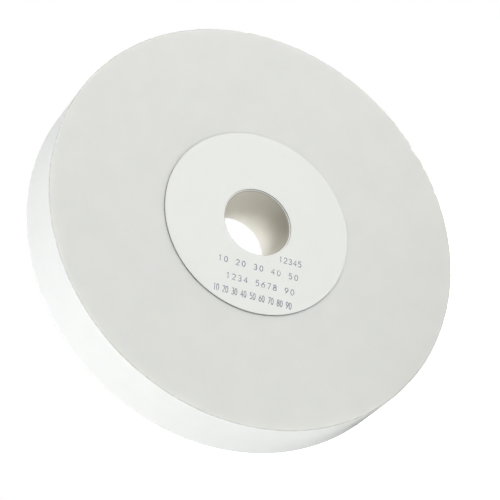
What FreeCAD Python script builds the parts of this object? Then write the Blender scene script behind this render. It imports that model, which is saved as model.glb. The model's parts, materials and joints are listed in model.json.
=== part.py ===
import FreeCAD, Part

# Straight vitrified grinding wheel for a bench grinder: a white abrasive ring, the bush that
# lines its bore, and a paper blotter glued on each side for the flanges to press on.
# Millimetres. The wheel stands upright and turns about Y. The origin is the wheel's centre,
# the front is towards -Y, and up is +Z.

import os

# Driving dimensions: the wheel itself
WHEEL_DIAMETER = 200.0
WHEEL_THICKNESS = 30.0
BORE_DIAMETER = 32.0
RIM_EDGE_RADIUS = 0.4  # the sharp corners are dressed off with a stone

# Bush, moulded into the wheel's hole
BUSH_WALL = 3.0
BUSH_MOUTH_CHAMFER = 0.25
KEY_RIB_WIDTH = 8.0  # a rib round the bush, which keys it into the abrasive
KEY_RIB_HEIGHT = 1.5

# Blotters, one glued on each face
BLOTTER_DIAMETER = 91.0
BLOTTER_THICKNESS = 0.6

# Clearances between what mates
BUSH_SEAT_GAP = 0.0  # the bush is moulded in place, so it fills its hole
BLOTTER_HOLE_CLEARANCE = 0.75  # radial, so that the paper never reaches the spindle

# Sizes that follow from those above
WHEEL_RADIUS = WHEEL_DIAMETER / 2
BORE_RADIUS = BORE_DIAMETER / 2
FACE_Y = WHEEL_THICKNESS / 2
BUSH_OUTER_RADIUS = BORE_RADIUS + BUSH_WALL
SEAT_RADIUS = BUSH_OUTER_RADIUS + BUSH_SEAT_GAP
GROOVE_RADIUS = BUSH_OUTER_RADIUS + KEY_RIB_HEIGHT + BUSH_SEAT_GAP
BLOTTER_HOLE_RADIUS = BORE_RADIUS + BLOTTER_HOLE_CLEARANCE

ORIGIN = FreeCAD.Vector(0, 0, 0)
AXIS = FreeCAD.Vector(0, 1, 0)


def turned(profile):
    """The solid that a closed profile of (radius, y) points sweeps in one turn about the axis."""
    corners = [FreeCAD.Vector(radius, y, 0) for radius, y in profile]
    outline = Part.makePolygon(corners + corners[:1])
    return Part.Face(outline).revolve(ORIGIN, AXIS, 360)


def keyed_hole(radius, groove_radius):
    """The side of the bush or of its hole, from front to rear, with the key rib or its groove half way."""
    rib = KEY_RIB_WIDTH / 2
    return [
        (radius, -FACE_Y),
        (radius, -rib),
        (groove_radius, -rib),
        (groove_radius, rib),
        (radius, rib),
        (radius, FACE_Y),
    ]


def abrasive_body():
    """The abrasive ring, with a grooved hole for the bush and both outer corners rounded."""
    hole = keyed_hole(SEAT_RADIUS, GROOVE_RADIUS)
    rim = [(WHEEL_RADIUS, FACE_Y), (WHEEL_RADIUS, -FACE_Y)]
    ring = turned(hole + rim)
    corners = [edge for edge in ring.Edges if is_rim_corner(edge)]
    return ring.makeFillet(RIM_EDGE_RADIUS, corners)


def is_rim_corner(edge):
    """Whether an edge is one of the two circles where the rim meets a face."""
    return isinstance(edge.Curve, Part.Circle) and edge.Curve.Radius == WHEEL_RADIUS


def bore_bush():
    """The bush, as long as the wheel is thick, chamfered at both mouths."""
    mouth_radius = BORE_RADIUS + BUSH_MOUTH_CHAMFER
    straight = FACE_Y - BUSH_MOUTH_CHAMFER
    outside = keyed_hole(BUSH_OUTER_RADIUS, BUSH_OUTER_RADIUS + KEY_RIB_HEIGHT)
    inside = [
        (mouth_radius, FACE_Y),
        (BORE_RADIUS, straight),
        (BORE_RADIUS, -straight),
        (mouth_radius, -FACE_Y),
    ]
    return turned(outside + inside)


def blotter(side):
    """The paper disc on the front face, side -1, or on the rear one, side 1."""
    glued = side * FACE_Y
    outer = side * (FACE_Y + BLOTTER_THICKNESS)
    return turned(
        [
            (BLOTTER_HOLE_RADIUS, glued),
            (BLOTTER_DIAMETER / 2, glued),
            (BLOTTER_DIAMETER / 2, outer),
            (BLOTTER_HOLE_RADIUS, outer),
        ]
    )


def closed_solid(shape):
    """The one closed solid in a shape, turned right side out."""
    solid = Part.Solid(shape.Shells[0])
    if solid.Volume < 0:
        solid.reverse()
    return solid


NODES = {
    "abrasive_body": abrasive_body(),
    "bore_bush": bore_bush(),
    "front_blotter": blotter(-1),
    "rear_blotter": blotter(1),
}

os.makedirs("parts", exist_ok=True)
for name, shape in NODES.items():
    solid = closed_solid(shape)
    assert solid.isValid(), name
    solid.exportStep(f"parts/{name}.step")
    print(f"{name}: {solid.Volume / 1000:.2f} cm3, {len(solid.Faces)} faces")
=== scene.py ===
"""The looks of a straight white grinding wheel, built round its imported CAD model.

Detailed pieces replace the four CAD nodes: the abrasive ring with its chipped corners, the bush in its
bore, and a paper blotter on each face, the front one stamped with rows of plain numbers. Lengths are in
metres, in the CAD frame: the wheel stands upright, turns about Y, and its front faces -Y.
"""

import json
import math

import bpy
import numpy as np
from mathutils import Matrix, Vector, noise


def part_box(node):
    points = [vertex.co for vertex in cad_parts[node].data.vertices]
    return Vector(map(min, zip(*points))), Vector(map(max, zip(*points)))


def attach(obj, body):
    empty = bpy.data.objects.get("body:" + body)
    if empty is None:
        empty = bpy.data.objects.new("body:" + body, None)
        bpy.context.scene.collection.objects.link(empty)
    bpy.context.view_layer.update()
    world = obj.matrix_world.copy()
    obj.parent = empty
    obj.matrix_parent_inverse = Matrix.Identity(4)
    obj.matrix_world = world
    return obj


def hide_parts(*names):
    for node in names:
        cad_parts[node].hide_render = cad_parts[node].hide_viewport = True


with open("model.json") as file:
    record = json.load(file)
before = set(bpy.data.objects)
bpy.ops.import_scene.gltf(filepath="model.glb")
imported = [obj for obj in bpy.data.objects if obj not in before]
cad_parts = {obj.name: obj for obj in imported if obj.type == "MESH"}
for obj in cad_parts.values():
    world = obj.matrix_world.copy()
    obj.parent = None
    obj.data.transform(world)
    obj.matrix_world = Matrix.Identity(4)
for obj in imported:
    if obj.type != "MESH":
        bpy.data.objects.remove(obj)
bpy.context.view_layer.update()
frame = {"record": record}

MM = 0.001

# Sizes read from the frame
ring_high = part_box("abrasive_body")[1]
paper_low, paper_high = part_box("rear_blotter")
bore_mount = next(m for m in frame["record"]["mounts"] if m["name"] == "bore")
WHEEL_RADIUS = ring_high.x
FACE_Y = ring_high.y
PAPER_RADIUS = paper_high.x
PAPER_THICKNESS = paper_high.y - paper_low.y
RIB_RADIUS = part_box("bore_bush")[1].x
BORE_RADIUS = bore_mount["dims"]["r_mm"] * MM
MOUTH_CHAMFER = FACE_Y - bore_mount["dims"]["length_mm"] * MM / 2

# Sizes that the frame doesn't state, as in the CAD
BUSH_WALL = 3.0 * MM
KEY_RIB_WIDTH = 8.0 * MM
PAPER_HOLE_CLEARANCE = 0.75 * MM
CORNER_RADIUS = 0.4 * MM

SEAT_RADIUS = BORE_RADIUS + BUSH_WALL
RIB_HALF = KEY_RIB_WIDTH / 2
ARC_RADIUS = WHEEL_RADIUS - CORNER_RADIUS  # where the corner's arc has its centre: how far out,
ARC_Y = FACE_Y - CORNER_RADIUS  # and how far along the axis


# ---------------------------------------------------------------- meshes


class Rings:
    """A closed surface of revolution about Y: a loop of rings, whose counts of points may differ."""

    def __init__(self):
        self.points = []
        self.rings = []

    def add(self, radius, y, count, place=None):
        """Adds a ring of count points, each moved by place(point, angle) if that is given."""
        self.rings.append((len(self.points), count))
        for i in range(count):
            angle = math.tau * i / count
            point = Vector((radius * math.cos(angle), y, radius * math.sin(angle)))
            self.points.append(place(point, angle) if place else point)

    def faces(self):
        """Quads between rings of equal count, and fans where one count is a multiple of the other."""
        found = []
        for (a, n), (b, m) in zip(self.rings, self.rings[1:] + self.rings[:1]):
            if n == m:
                found += [(a + i, a + (i + 1) % n, b + (i + 1) % n, b + i) for i in range(n)]
            elif n > m:
                found += fans(a, n, b, m)
            else:
                found += [face[::-1] for face in fans(b, m, a, n)]
        return found

    def mesh(self, name):
        """The loop of rings as a closed and smooth mesh."""
        made = bpy.data.meshes.new(name)
        made.from_pydata(self.points, [], self.faces())
        made.shade_smooth()
        outward(made)
        return made


def fans(fine, n, coarse, m):
    """Triangles from a ring of n points to one of m points, where n is a multiple of m."""
    share = n // m
    middle = share // 2
    found = []
    for j in range(m):
        here, there = coarse + j, coarse + (j + 1) % m
        for k in range(share):
            left, right = fine + j * share + k, fine + (j * share + k + 1) % n
            found.append((left, right, here if k < middle else there))
            if k == middle - 1:
                found.append((right, there, here))
    return found


def outward(mesh):
    """Turns a closed mesh right side out, going by the sign of its volume."""
    volume = 0.0
    for face in mesh.polygons:
        corners = [mesh.vertices[v].co for v in face.vertices]
        for second, third in zip(corners[1:], corners[2:]):
            volume += corners[0].dot(second.cross(third))
    if volume < 0:
        mesh.flip_normals()


def piece(name, mesh, slot, node, *materials):
    """Finishes a piece: its object and its materials, hung from the root body, with the CAD node that it
    replaces hidden.
    """
    made = bpy.data.objects.new(name, mesh)
    bpy.context.scene.collection.objects.link(made)
    for material in materials:
        mesh.materials.append(material)
    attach(made, "root")
    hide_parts(node)


# ---------------------------------------------------------------- materials


class Nodes:
    """Short ways to build the nodes of a material or a world."""

    def __init__(self, tree):
        self.nodes = tree.nodes
        self.links = tree.links

    def add(self, kind, **inputs):
        """A node whose inputs are set to a number or a colour, or linked to another node's output."""
        node = self.nodes.new(kind)
        for name, value in inputs.items():
            self.feed(node.inputs[name.replace("_", " ")], value)
        return node

    def feed(self, socket, value):
        """Sets a socket to a value, or links it to another node's output."""
        if isinstance(value, bpy.types.NodeSocket):
            self.links.new(value, socket)
        else:
            socket.default_value = value

    def maths(self, operation, first, second=0.0):
        """What a Math node makes of two numbers or outputs."""
        node = self.nodes.new("ShaderNodeMath")
        node.operation = operation
        self.feed(node.inputs[0], first)
        self.feed(node.inputs[1], second)
        return node.outputs[0]


class Shader(Nodes):
    """A Principled material, and patterns to feed it with."""

    def __init__(self, name, **constants):
        self.material = bpy.data.materials.new(name)
        self.material.use_nodes = True
        super().__init__(self.material.node_tree)
        self.surface = self.nodes["Principled BSDF"]
        for socket, value in constants.items():
            self.surface.inputs[socket.replace("_", " ")].default_value = value
        self.place = self.nodes.new("ShaderNodeTexCoord").outputs["Object"]

    def link(self, output, socket):
        """Feeds a socket of the Principled shader from another node's output."""
        self.links.new(output, self.surface.inputs[socket])

    def noise(self, size, detail=2.0, stretch=(1, 1, 1)):
        """Cloudy noise with features about size metres across, closer together along a larger stretch."""
        place = self.add("ShaderNodeMapping", Vector=self.place, Scale=stretch).outputs[0]
        return self.add("ShaderNodeTexNoise", Vector=place, Scale=1 / size, Detail=detail).outputs[0]

    def cells(self, size):
        """Packed grains about size metres across."""
        return self.add("ShaderNodeTexVoronoi", Vector=self.place, Scale=1 / size).outputs[0]

    def ranged(self, value, low, high, to_low=0.0, to_high=1.0):
        """value mapped from low..high to to_low..to_high, and held within them."""
        node = self.nodes.new("ShaderNodeMapRange")
        for socket, number in zip(node.inputs, (value, low, high, to_low, to_high)):
            self.feed(socket, number)
        return node.outputs[0]

    def spread(self, pattern, to_low=0.0, to_high=1.0):
        """The middle of a noise's values, where most of them are, mapped to to_low..to_high."""
        return self.ranged(pattern, 0.3, 0.7, to_low, to_high)

    def mixed(self, factor, first, second):
        """A colour between two, each an (r, g, b) or a node's output."""
        node = self.nodes.new("ShaderNodeMix")
        node.data_type = "RGBA"
        colours = [socket for socket in node.inputs if socket.type == "RGBA"]
        self.links.new(factor, node.inputs["Factor"])
        for socket, value in zip(colours, (first, second)):
            self.feed(socket, (*value, 1) if isinstance(value, tuple) else value)
        return next(socket for socket in node.outputs if socket.type == "RGBA")

    def corners(self, reach):
        """One at the corners between the rim and the faces, falling to nothing reach metres from them."""
        flat = self.add("ShaderNodeMapping", Vector=self.place, Scale=(1, 0, 1)).outputs[0]
        radius = self.nodes.new("ShaderNodeVectorMath")
        radius.operation = "LENGTH"
        self.feed(radius.inputs[0], flat)
        along = self.maths("ABSOLUTE", self.add("ShaderNodeSeparateXYZ", Vector=self.place).outputs["Y"])
        near_rim = self.ranged(radius.outputs["Value"], WHEEL_RADIUS - reach, WHEEL_RADIUS - reach / 3)
        return self.maths("MULTIPLY", near_rim, self.ranged(along, FACE_Y - reach, FACE_Y - reach / 3))

    def bump(self, height, depth, strength):
        """Bumps of depth metres."""
        node = self.add("ShaderNodeBump", Height=height, Distance=depth, Strength=strength)
        self.link(node.outputs[0], "Normal")


ALUMINA = (0.715, 0.719, 0.690)
ALUMINA_SHADE = (0.675, 0.682, 0.655)
# Painted shade: a darker colour laid along the corners between the rim and the faces
CORNER_SHADE = (0.45, 0.455, 0.435)
PAPER = (0.763, 0.774, 0.744)
PAPER_SHADE = (0.744, 0.755, 0.722)
# Painted shade: near black, for the dark line of shade at the blotter's cut edges
PAPER_EDGE_SHADE = (0.14, 0.145, 0.13)
BUSH = (0.722, 0.70, 0.63)
BUSH_SHADE = (0.69, 0.662, 0.585)
# Painted shade: the darker colour of the bush's chamfers
BUSH_CHAMFER_SHADE = (0.40, 0.38, 0.34)
# Painted light: a paler colour for the ends of the bush
BUSH_LIP_LIGHT = (0.88, 0.87, 0.82)
INK = (0.20, 0.20, 0.27)

GRAIN = 0.45 * MM
CORNER_SHADE_REACH = 0.6 * MM  # how far the painted shade spreads from the corner
FIBRE = 0.5 * MM
TURNING_LINE = 1.2 * MM


def alumina():
    """White fused alumina in a vitrified bond: packed grains and fine pores, matte, slightly translucent.

    A thin line of painted shade darkens the worn corners.
    """
    shader = Shader("white_alumina", Roughness=0.8, Subsurface_Weight=1.0, Subsurface_Scale=3 * MM)
    shader.surface.inputs["Subsurface Radius"].default_value = (1.0, 0.95, 0.85)
    grains = shader.cells(GRAIN)
    clouds = shader.noise(14 * MM, detail=3.0)
    tone = shader.maths("ADD", shader.spread(clouds, 0, 0.5), shader.ranged(grains, 0, 0.9, 0, 0.5))
    base_tone = shader.mixed(tone, ALUMINA, ALUMINA_SHADE)
    # painted shade along the corners, broken up by noise
    line = shader.corners(CORNER_SHADE_REACH)
    corner_shade = shader.maths("MULTIPLY", line, shader.ranged(shader.noise(2.5 * MM), 0.3, 0.6, 0.5, 1))
    shader.link(shader.mixed(corner_shade, base_tone, CORNER_SHADE), "Base Color")
    shader.bump(grains, 0.05 * MM, 0.35)
    return shader.material


def paper():
    """Uncoated blotting paper: short fibres and a faint cloudiness."""
    shader = Shader("blotter_paper", Roughness=0.9)
    fibres = shader.noise(FIBRE, 4.0, (1.0, 1.0, 0.35))
    clouds = shader.noise(9 * MM)
    tone = shader.maths("MULTIPLY", shader.spread(fibres), shader.spread(clouds, 0.4, 1.0))
    shader.link(shader.mixed(tone, PAPER, PAPER_SHADE), "Base Color")
    shader.bump(fibres, 0.03 * MM, 0.3)
    return shader.material


def paper_edge_shade():
    """The cut edge of the blotter, coloured near black as painted shade for the dark gap line round the
    paper's edges.
    """
    shader = Shader("blotter_cut_edge", Roughness=0.95)
    fibres = shader.noise(0.4 * MM, 3.0)
    shader.link(shader.mixed(shader.ranged(fibres, 0.45, 0.75), PAPER_EDGE_SHADE, PAPER_SHADE), "Base Color")
    shader.bump(fibres, 0.1 * MM, 0.5)
    return shader.material


def bush_plastic():
    """Smooth satin plastic, with faint turning lines round the bore."""
    shader = Shader("bush_plastic", Roughness=0.5)
    lines = shader.noise(TURNING_LINE, 2.0, (0.02, 1.0, 0.02))
    clouds = shader.noise(8 * MM)
    shader.link(shader.mixed(shader.spread(clouds), BUSH, BUSH_SHADE), "Base Color")
    shader.link(shader.spread(clouds, 0.45, 0.55), "Roughness")
    shader.bump(lines, 0.02 * MM, 0.15)
    return shader.material


def bush_chamfer_shade():
    """Painted shade: the chamfer at each mouth of the bush, coloured darker so that it reads as a dark
    line.
    """
    return Shader("bush_chamfer_shade", Base_Color=(*BUSH_CHAMFER_SHADE, 1), Roughness=0.8).material


def bush_lip_light():
    """The ends of the bush, coloured paler than the bore as painted light, so that they stay a light line
    where the blotter's edge shades them.
    """
    return Shader("bush_lip_light", Base_Color=(*BUSH_LIP_LIGHT, 1), Roughness=0.6).material


def stamp_ink():
    """Blue-grey stamping ink that took unevenly, so that the paper shows through it."""
    shader = Shader("stamp_ink", Roughness=0.85)
    patches = shader.maths("ADD", shader.noise(1.0 * MM, 3.0), shader.noise(11 * MM))
    shader.link(shader.mixed(shader.ranged(patches, 1.08, 1.45), INK, PAPER_SHADE), "Base Color")
    return shader.material


# ---------------------------------------------------------------- abrasive ring

FINE_COUNT = 1440  # points round the corners, which carry the chips
RIM_COUNT = FINE_COUNT // 2  # points round the middle of the rim
COARSE_COUNT = 360  # points round the flat faces and the hole
CORNER_STEPS = 7
BESIDE_CORNER = (0.2 * MM, 0.5 * MM, 0.9 * MM, 1.4 * MM, 2 * MM)  # where fine rings lie, past the arc's end
COARSE_START = 3 * MM  # where the coarser rings start, past the arc's end
FACE_RINGS = 12
RIM_RINGS = 8

# Chips are bites that a ball takes out of a corner. These are the larger ones of the front corner, as
# (degrees from +X towards +Z, the ball's radius in mm, how deep it bites in mm).
NOTCHES = (
    (-15.5, 1.4, 1.25),
    (-16.8, 1.2, 0.85),
    (-18.2, 0.9, 0.45),
    (-21.6, 1.0, 0.55),
    (-25.2, 0.9, 0.45),
    (-29.0, 1.0, 0.8),
    (-34.0, 0.8, 0.35),
    (12.0, 0.8, 0.35),
    (71.6, 0.9, 0.45),
)
# The smaller chips, strewn over both corners
CHIP_SEED = 7
CHIP_COUNT = 70
CHIP_RADII_MM = (0.4, 1.1)
CHIP_DEPTHS = (0.1, 0.35)  # as shares of the radius

# Grains that have crumbled from the corners
CRUMBLE_REACH = 1.1 * MM
GRAIN_LOSSES = ((700, 0.3), (1900, 0.16))  # (how close together, how deep in mm)
WORN_SIDE = math.radians(-20)
UNEVEN_WEAR = 0.35
REAR_WEAR = 0.3  # the rear corner has crumbled less than the front one


def chips():
    """Chips along both corners, as (angle, side, radius, depth)."""
    random = np.random.default_rng(CHIP_SEED)
    found = [(math.radians(angle), -1, radius * MM, depth * MM) for angle, radius, depth in NOTCHES]
    for _ in range(CHIP_COUNT):
        radius = random.uniform(*CHIP_RADII_MM) * MM
        angle = random.uniform(0, math.tau)
        side = random.choice((-1, 1))
        found.append((angle, side, radius, radius * random.uniform(*CHIP_DEPTHS)))
    return found


def scoops():
    """Each chip as a ball that bites into the corner: (centre, radius, the way it pushes the surface)."""
    made = []
    inset = CORNER_RADIUS * (1 - math.sqrt(0.5))
    reach = WHEEL_RADIUS - inset
    for angle, side, radius, depth in chips():
        out = Vector((math.cos(angle), side, math.sin(angle))).normalized()
        middle = Vector((reach * math.cos(angle), side * (FACE_Y - inset), reach * math.sin(angle)))
        made.append((middle + out * (radius - depth), radius, out))
    return made


def crumbled(point, angle):
    """Where a point is left once the corner has lost grains, more of them on the worn side of the wheel."""
    away = max(WHEEL_RADIUS - math.hypot(point.x, point.z), FACE_Y - abs(point.y))
    wear = max(1 - away / CRUMBLE_REACH, 0) * (1 - UNEVEN_WEAR + UNEVEN_WEAR * math.cos(angle - WORN_SIDE))
    if point.y > 0:
        wear *= REAR_WEAR
    lost = sum(max(noise.noise(point * closeness), 0) * depth * MM for closeness, depth in GRAIN_LOSSES)
    out = Vector((math.cos(angle), math.copysign(1, point.y), math.sin(angle))).normalized()
    return point - out * lost * wear


def chipped(found):
    """A function that moves a ring's points to where chips and crumbled grains leave the surface."""

    def place(point, angle):
        moved = crumbled(point, angle)
        for centre, radius, push in found:
            offset = moved - centre
            if offset.length < radius:
                along = offset.dot(push)
                moved -= push * (along + math.sqrt(radius**2 - offset.length_squared + along**2))
        return moved

    return place


def corner(side):
    """The rounded corner between rim and face, as (radius, y) from the rim's end to the face's."""
    turns = [math.pi / 2 * i / CORNER_STEPS for i in range(CORNER_STEPS + 1)]
    steps = [(CORNER_RADIUS * math.cos(t), CORNER_RADIUS * math.sin(t)) for t in turns]
    return [(ARC_RADIUS + x, side * (ARC_Y + y)) for x, y in steps]


def abrasive_ring():
    """The ring, from its hole over the front face, the rim and the rear face, and back along the hole."""
    place = chipped(scoops())
    ring = Rings()
    for radius in np.linspace(SEAT_RADIUS, ARC_RADIUS - COARSE_START, FACE_RINGS):
        ring.add(radius, -FACE_Y, COARSE_COUNT)
    front = [(ARC_RADIUS - inset, -FACE_Y) for inset in BESIDE_CORNER[::-1]] + corner(-1)[::-1]
    for radius, y in front + [(WHEEL_RADIUS, inset - ARC_Y) for inset in BESIDE_CORNER]:
        ring.add(radius, y, FINE_COUNT, place)
    for y in np.linspace(COARSE_START - ARC_Y, ARC_Y - COARSE_START, RIM_RINGS):
        ring.add(WHEEL_RADIUS, y, RIM_COUNT)
    rear = [(WHEEL_RADIUS, ARC_Y - inset) for inset in BESIDE_CORNER[::-1]] + corner(1)
    for radius, y in rear + [(ARC_RADIUS - inset, FACE_Y) for inset in BESIDE_CORNER]:
        ring.add(radius, y, FINE_COUNT, place)
    for radius in np.linspace(ARC_RADIUS - COARSE_START, SEAT_RADIUS, FACE_RINGS):
        ring.add(radius, FACE_Y, COARSE_COUNT)
    for radius, side in ((SEAT_RADIUS, 1), (RIB_RADIUS, 1), (RIB_RADIUS, -1), (SEAT_RADIUS, -1)):
        ring.add(radius, side * RIB_HALF, COARSE_COUNT)
    piece("abrasive_ring", ring.mesh("abrasive_ring"), "abrasive", "abrasive_body", alumina())


# ---------------------------------------------------------------- bush

BUSH_COUNT = 240
MOUTH_ROUNDING = 0.05 * MM
WALL_START = 1 * MM  # where the wall's even rings start, from the chamfer
WALL_RINGS = 9
CHAMFER_LEAN = 0.3  # a face of the bush that leans more than this to the axis is in a chamfer,
END_LEAN = 0.95  # and one that leans more than this is in a flat end


def bush_lining():
    """The bush: a smooth bore with a chamfer at each mouth, and the key rib round its outside."""
    mouth = BORE_RADIUS + MOUTH_CHAMFER
    straight = FACE_Y - MOUTH_CHAMFER
    soft = MOUTH_ROUNDING
    ring = Rings()
    outside = [(SEAT_RADIUS, -FACE_Y), (SEAT_RADIUS, -RIB_HALF), (RIB_RADIUS, -RIB_HALF)]
    outside += [(radius, -y) for radius, y in outside[::-1]]
    rear = [
        (mouth + soft, FACE_Y),
        (mouth - soft, FACE_Y - soft * 2),
        (BORE_RADIUS + soft, straight + soft),
        (BORE_RADIUS, straight - soft),
    ]
    front = [(radius, -y) for radius, y in rear[::-1]]
    wall = [(BORE_RADIUS, y) for y in np.linspace(straight - WALL_START, WALL_START - straight, WALL_RINGS)]
    for radius, y in outside + rear + wall + front:
        ring.add(radius, y, BUSH_COUNT)
    made = ring.mesh("bush_lining")
    # the chamfers take the darker painted shade
    for face in made.polygons:
        lean = abs(face.normal.y)
        face.material_index = 0 if lean < CHAMFER_LEAN else 1 if lean < END_LEAN else 2
    # the flat ends take the paler painted light
    piece("bush_lining", made, "bush", "bore_bush", bush_plastic(), bush_chamfer_shade(), bush_lip_light())


# ---------------------------------------------------------------- blotters

PAPER_COUNT = 720
TOP_COUNT = PAPER_COUNT // 4  # points round the top's even rings
INK_THICKNESS = 0.02 * MM
PAPER_SOFTNESS = 0.1 * MM
FOOT_INSET = 0.05 * MM  # from the edge in the CAD to the foot of the side,
FOOT_TOP = 0.35 * MM  # which spreads below this depth
TOP_START = 1 * MM  # where the top's even rings start, from either edge
TOP_RINGS = 10
CUT_EDGE_LEAN = 0.9  # a face of the paper that leans outward more than this is in the cut edge


def blotter(side):
    """A paper disc with a soft top edge, whose side spreads a little at its foot, glued to that face."""
    hole = BORE_RADIUS + PAPER_HOLE_CLEARANCE
    top = side * (FACE_Y + PAPER_THICKNESS - INK_THICKNESS)
    low = side * FACE_Y
    soft = PAPER_SOFTNESS
    ring = Rings()
    ring.add(hole, low, PAPER_COUNT)
    ring.add(PAPER_RADIUS - FOOT_INSET, low, PAPER_COUNT)
    ring.add(PAPER_RADIUS - soft, top - side * FOOT_TOP, PAPER_COUNT)
    ring.add(PAPER_RADIUS - soft, top - side * soft, PAPER_COUNT)
    ring.add(PAPER_RADIUS - 2 * soft, top, PAPER_COUNT)
    for radius in np.linspace(PAPER_RADIUS - TOP_START, hole + TOP_START, TOP_RINGS):
        ring.add(radius, top, TOP_COUNT)
    ring.add(hole + soft, top, PAPER_COUNT)
    ring.add(hole, top - side * soft, PAPER_COUNT)
    made = ring.mesh("paper")
    # the cut edge takes the near-black painted shade
    for face in made.polygons:
        face.material_index = int(math.hypot(face.normal.x, face.normal.z) > CUT_EDGE_LEAN)
    return made


def blotters():
    """The paper on each face, and the numbers on the front one."""
    face, edge_shade = paper(), paper_edge_shade()
    for name, side, node in (("front_paper", -1, "front_blotter"), ("rear_paper", 1, "rear_blotter")):
        piece(name, blotter(side), "blotter_paper", node, face, edge_shade)
    piece("front_numbers", numbers(), "blotter_paper", "front_blotter", stamp_ink())


# ---------------------------------------------------------------- stamped numbers

ARC_STEP = 24  # degrees


def bow(x, y, wide, high, start, end):
    """Points on an elliptical arc about (x, y), from start to end degrees."""
    steps = max(2, round(abs(end - start) / ARC_STEP))
    turns = [math.radians(start + (end - start) * i / steps) for i in range(steps + 1)]
    return [(x + wide * math.cos(t), y + high * math.sin(t)) for t in turns]


# Each digit is one stroke, in a cell one unit high and 0.62 wide.
CELL_WIDTH = 0.62
SIX = [(0.47, 1.0), *bow(0.31, 0.3, 0.27, 0.3, 150, 510)]
STROKES = {
    "0": bow(0.31, 0.5, 0.27, 0.5, 90, 450),
    "1": [(0.14, 0.8), (0.34, 1.0), (0.34, 0.0)],
    "2": [*bow(0.31, 0.72, 0.26, 0.28, 165, -35), (0.03, 0.0), (0.6, 0.0)],
    "3": [*bow(0.29, 0.75, 0.24, 0.25, 150, -80), *bow(0.29, 0.26, 0.28, 0.26, 80, -150)],
    "4": [(0.46, 0.0), (0.46, 1.0), (0.03, 0.3), (0.62, 0.3)],
    "5": [(0.56, 1.0), (0.12, 1.0), (0.08, 0.55), *bow(0.29, 0.32, 0.28, 0.32, 120, -140)],
    "6": SIX,
    "7": [(0.04, 1.0), (0.58, 1.0), (0.22, 0.0)],
    "8": [*bow(0.31, 0.76, 0.22, 0.24, -90, 270), *bow(0.31, 0.26, 0.28, 0.26, 90, -270)],
    "9": [(CELL_WIDTH - x, 1 - y) for x, y in SIX],
}
# The rows, as (text, start along the row, distance below the wheel's centre, length, height), in mm
ROWS = (
    ("12345", 11.8, 16.8, 11.2, 2.7),
    ("10 20 30 40 50", -17.6, 24.0, 39.3, 2.7),
    ("1234 5678 90", -13.2, 31.8, 33.5, 2.8),
    ("10 20 30 40 50 60 70 80 90", -18.9, 39.1, 39.1, 3.2),
)
PRINT_TURN = math.radians(-54.5)
PEN_WIDTH = 0.36 * MM
MITRE_LIMIT = 0.6  # keeps the ink from spiking at sharp turns
WIDEST_DIGIT = 0.8  # as a share of the pitch


def ribbon(path):
    """A thin closed strip of ink along a path on the paper: its points, and faces that index them."""
    points, faces = [], []
    for i, here in enumerate(path):
        before = (here - path[max(i - 1, 0)]).normalized()
        after = (path[min(i + 1, len(path) - 1)] - here).normalized()
        way = (before + after).normalized()
        slant = max(way.dot(after if i == 0 else before), MITRE_LIMIT)
        aside = Vector((-way.y, way.x)) * (PEN_WIDTH / 2 / slant)
        for edge, height in ((aside, 0), (-aside, 0), (-aside, INK_THICKNESS), (aside, INK_THICKNESS)):
            points.append((here.x + edge.x, here.y + edge.y, height))
    for start in range(0, len(points) - 4, 4):
        for k in range(4):
            turned = (k + 1) % 4
            faces.append((start + k, start + turned, start + 4 + turned, start + 4 + k))
    last = len(points) - 4
    return points, faces + [(3, 2, 1, 0), (last, last + 1, last + 2, last + 3)]


def numbers():
    """The rows of plain numbers stamped on the front blotter, as thin raised ink."""
    points, faces = [], []
    for text, start, below, length, height in ROWS:
        pitch = (length - CELL_WIDTH * height) / (len(text) - 1)
        width = min(height, pitch / CELL_WIDTH * WIDEST_DIGIT)
        for i, digit in enumerate(text):
            if digit != " ":
                left = start + i * pitch
                path = [((left + x * width) * MM, (y * height - below) * MM) for x, y in STROKES[digit]]
                strip, sides = ribbon([Vector(point) for point in path])
                faces += [tuple(len(points) + v for v in face) for face in sides]
                points += strip
    along = Vector((math.cos(PRINT_TURN), 0, math.sin(PRINT_TURN)))
    up = Vector((-math.sin(PRINT_TURN), 0, math.cos(PRINT_TURN)))
    paper_top = Vector((0, INK_THICKNESS - FACE_Y - PAPER_THICKNESS, 0))
    made = bpy.data.meshes.new("front_numbers")
    made.from_pydata([paper_top + along * x + up * y - Vector((0, z, 0)) for x, y, z in points], [], faces)
    outward(made)
    return made


# ---------------------------------------------------------------- stage, light and camera

FLOOR_REACH = 12.0
FLOOR_COLOUR = (0.85, 0.85, 0.85)
FLOOR_GLOW = 0.135  # what the floor gives off itself, like a light table
FLOOR_WHITE = 0.8  # what the camera sees on top of that, so that the floor stays nearly white in shade

STUDIO_FRONT = 0.50  # how bright the studio is straight ahead of the wheel's front,
STUDIO_REAR = 0.40  # and of its rear

WHITE = (1.0, 1.0, 1.0)
COOL = (0.958, 0.971, 1.0)
# Soft lights, as (name, place, size, watts, colour)
LIGHTS = (
    ("key", (-1.5, 0.45, 0.5), 1.0, 20.5, COOL),
    ("key_high", (-0.7, 0.6, 1.05), 0.6, 5.8, COOL),
    ("fill", (0.75, -1.5, 0.95), 0.8, 24.9, WHITE),
    ("top", (0.1, 1.0, 1.2), 0.6, 1.2, WHITE),
)

# Camera: where it stands, which way up it is held, and its lens
CAMERA_OFF_AXIS = math.radians(35.19)  # to the left of the wheel's own axis
CAMERA_ROLL = math.radians(44.52)
CAMERA_DISTANCE = 1068.8 * MM
CENTRE_RIGHT = -2.97 * MM  # the wheel's centre from the middle of the picture
CENTRE_UP = 6.18 * MM
SENSOR_WIDTH_MM = 36.0
LENS_MM = 167.69
CLIP_END = 100


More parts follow.
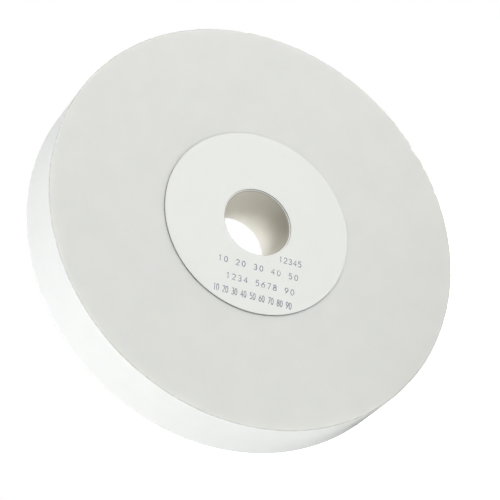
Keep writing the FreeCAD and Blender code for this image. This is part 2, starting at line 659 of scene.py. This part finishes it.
def floor():
    """A wide white floor that the wheel stands on."""
    shader = Shader("floor_white", Base_Color=(*FLOOR_COLOUR, 1), Roughness=0.9)
    seen = shader.nodes.new("ShaderNodeLightPath").outputs["Is Camera Ray"]
    shader.surface.inputs["Emission Color"].default_value = (1, 1, 1, 1)
    brightness = shader.maths("ADD", shader.maths("MULTIPLY", seen, FLOOR_WHITE), FLOOR_GLOW)
    shader.link(brightness, "Emission Strength")
    corners = [(-FLOOR_REACH, -FLOOR_REACH), (FLOOR_REACH, -FLOOR_REACH)]
    corners += [(-x, -y) for x, y in corners]
    mesh = bpy.data.meshes.new("floor")
    mesh.from_pydata([(x, y, -WHEEL_RADIUS) for x, y in corners], [], [(0, 1, 2, 3)])
    mesh.materials.append(shader.material)
    made = bpy.data.objects.new("floor", mesh)
    bpy.context.scene.collection.objects.link(made)


def studio():
    """Soft light from ahead of both faces, falling off to the sides. The camera itself sees plain white."""
    made = bpy.data.worlds.new("studio")
    made.use_nodes = True
    nodes = Nodes(made.node_tree)
    direction = nodes.nodes.new("ShaderNodeTexCoord").outputs["Generated"]
    along = nodes.add("ShaderNodeSeparateXYZ", Vector=direction).outputs["Y"]
    behind = nodes.maths("GREATER_THAN", along, 0.0)
    strength = nodes.maths("ADD", nodes.maths("MULTIPLY", behind, STUDIO_REAR - STUDIO_FRONT), STUDIO_FRONT)
    light = nodes.maths("MULTIPLY", nodes.maths("MULTIPLY", along, along), strength)
    seen = nodes.nodes.new("ShaderNodeLightPath").outputs["Is Camera Ray"]
    background = made.node_tree.nodes["Background"]
    background.inputs["Color"].default_value = (1, 1, 1, 1)
    nodes.feed(background.inputs["Strength"], nodes.maths("MAXIMUM", light, seen))
    bpy.context.scene.world = made


def area_light(name, place, size, power, colour):
    """A soft square light that faces the wheel and isn't itself seen by the camera."""
    data = bpy.data.lights.new(name, "AREA")
    data.size = size
    data.energy = power
    data.color = colour
    made = bpy.data.objects.new(name, data)
    made.visible_camera = False
    made.location = place
    made.rotation_euler = (-Vector(place)).to_track_quat("-Z", "Y").to_euler()
    bpy.context.scene.collection.objects.link(made)


def camera():
    """A long lens, to the left of the wheel's axis and tipped on its side."""
    data = bpy.data.cameras.new("camera")
    data.sensor_width = SENSOR_WIDTH_MM
    data.lens = LENS_MM
    data.clip_end = CLIP_END
    back = Vector((-math.sin(CAMERA_OFF_AXIS), -math.cos(CAMERA_OFF_AXIS), 0))
    upright = Vector((0, 0, 1))
    level = upright.cross(back)
    right = level * math.cos(CAMERA_ROLL) - upright * math.sin(CAMERA_ROLL)
    up = level * math.sin(CAMERA_ROLL) + upright * math.cos(CAMERA_ROLL)
    place = back * CAMERA_DISTANCE - right * CENTRE_RIGHT - up * CENTRE_UP
    made = bpy.data.objects.new("camera", data)
    made.matrix_world = Matrix.Translation(place) @ Matrix((right, up, back)).transposed().to_4x4()
    bpy.context.scene.collection.objects.link(made)
    bpy.context.scene.camera = made


abrasive_ring()
bush_lining()
blotters()
floor()
studio()
for light in LIGHTS:
    area_light(*light)
camera()
bpy.context.scene.view_settings.view_transform = "Standard"
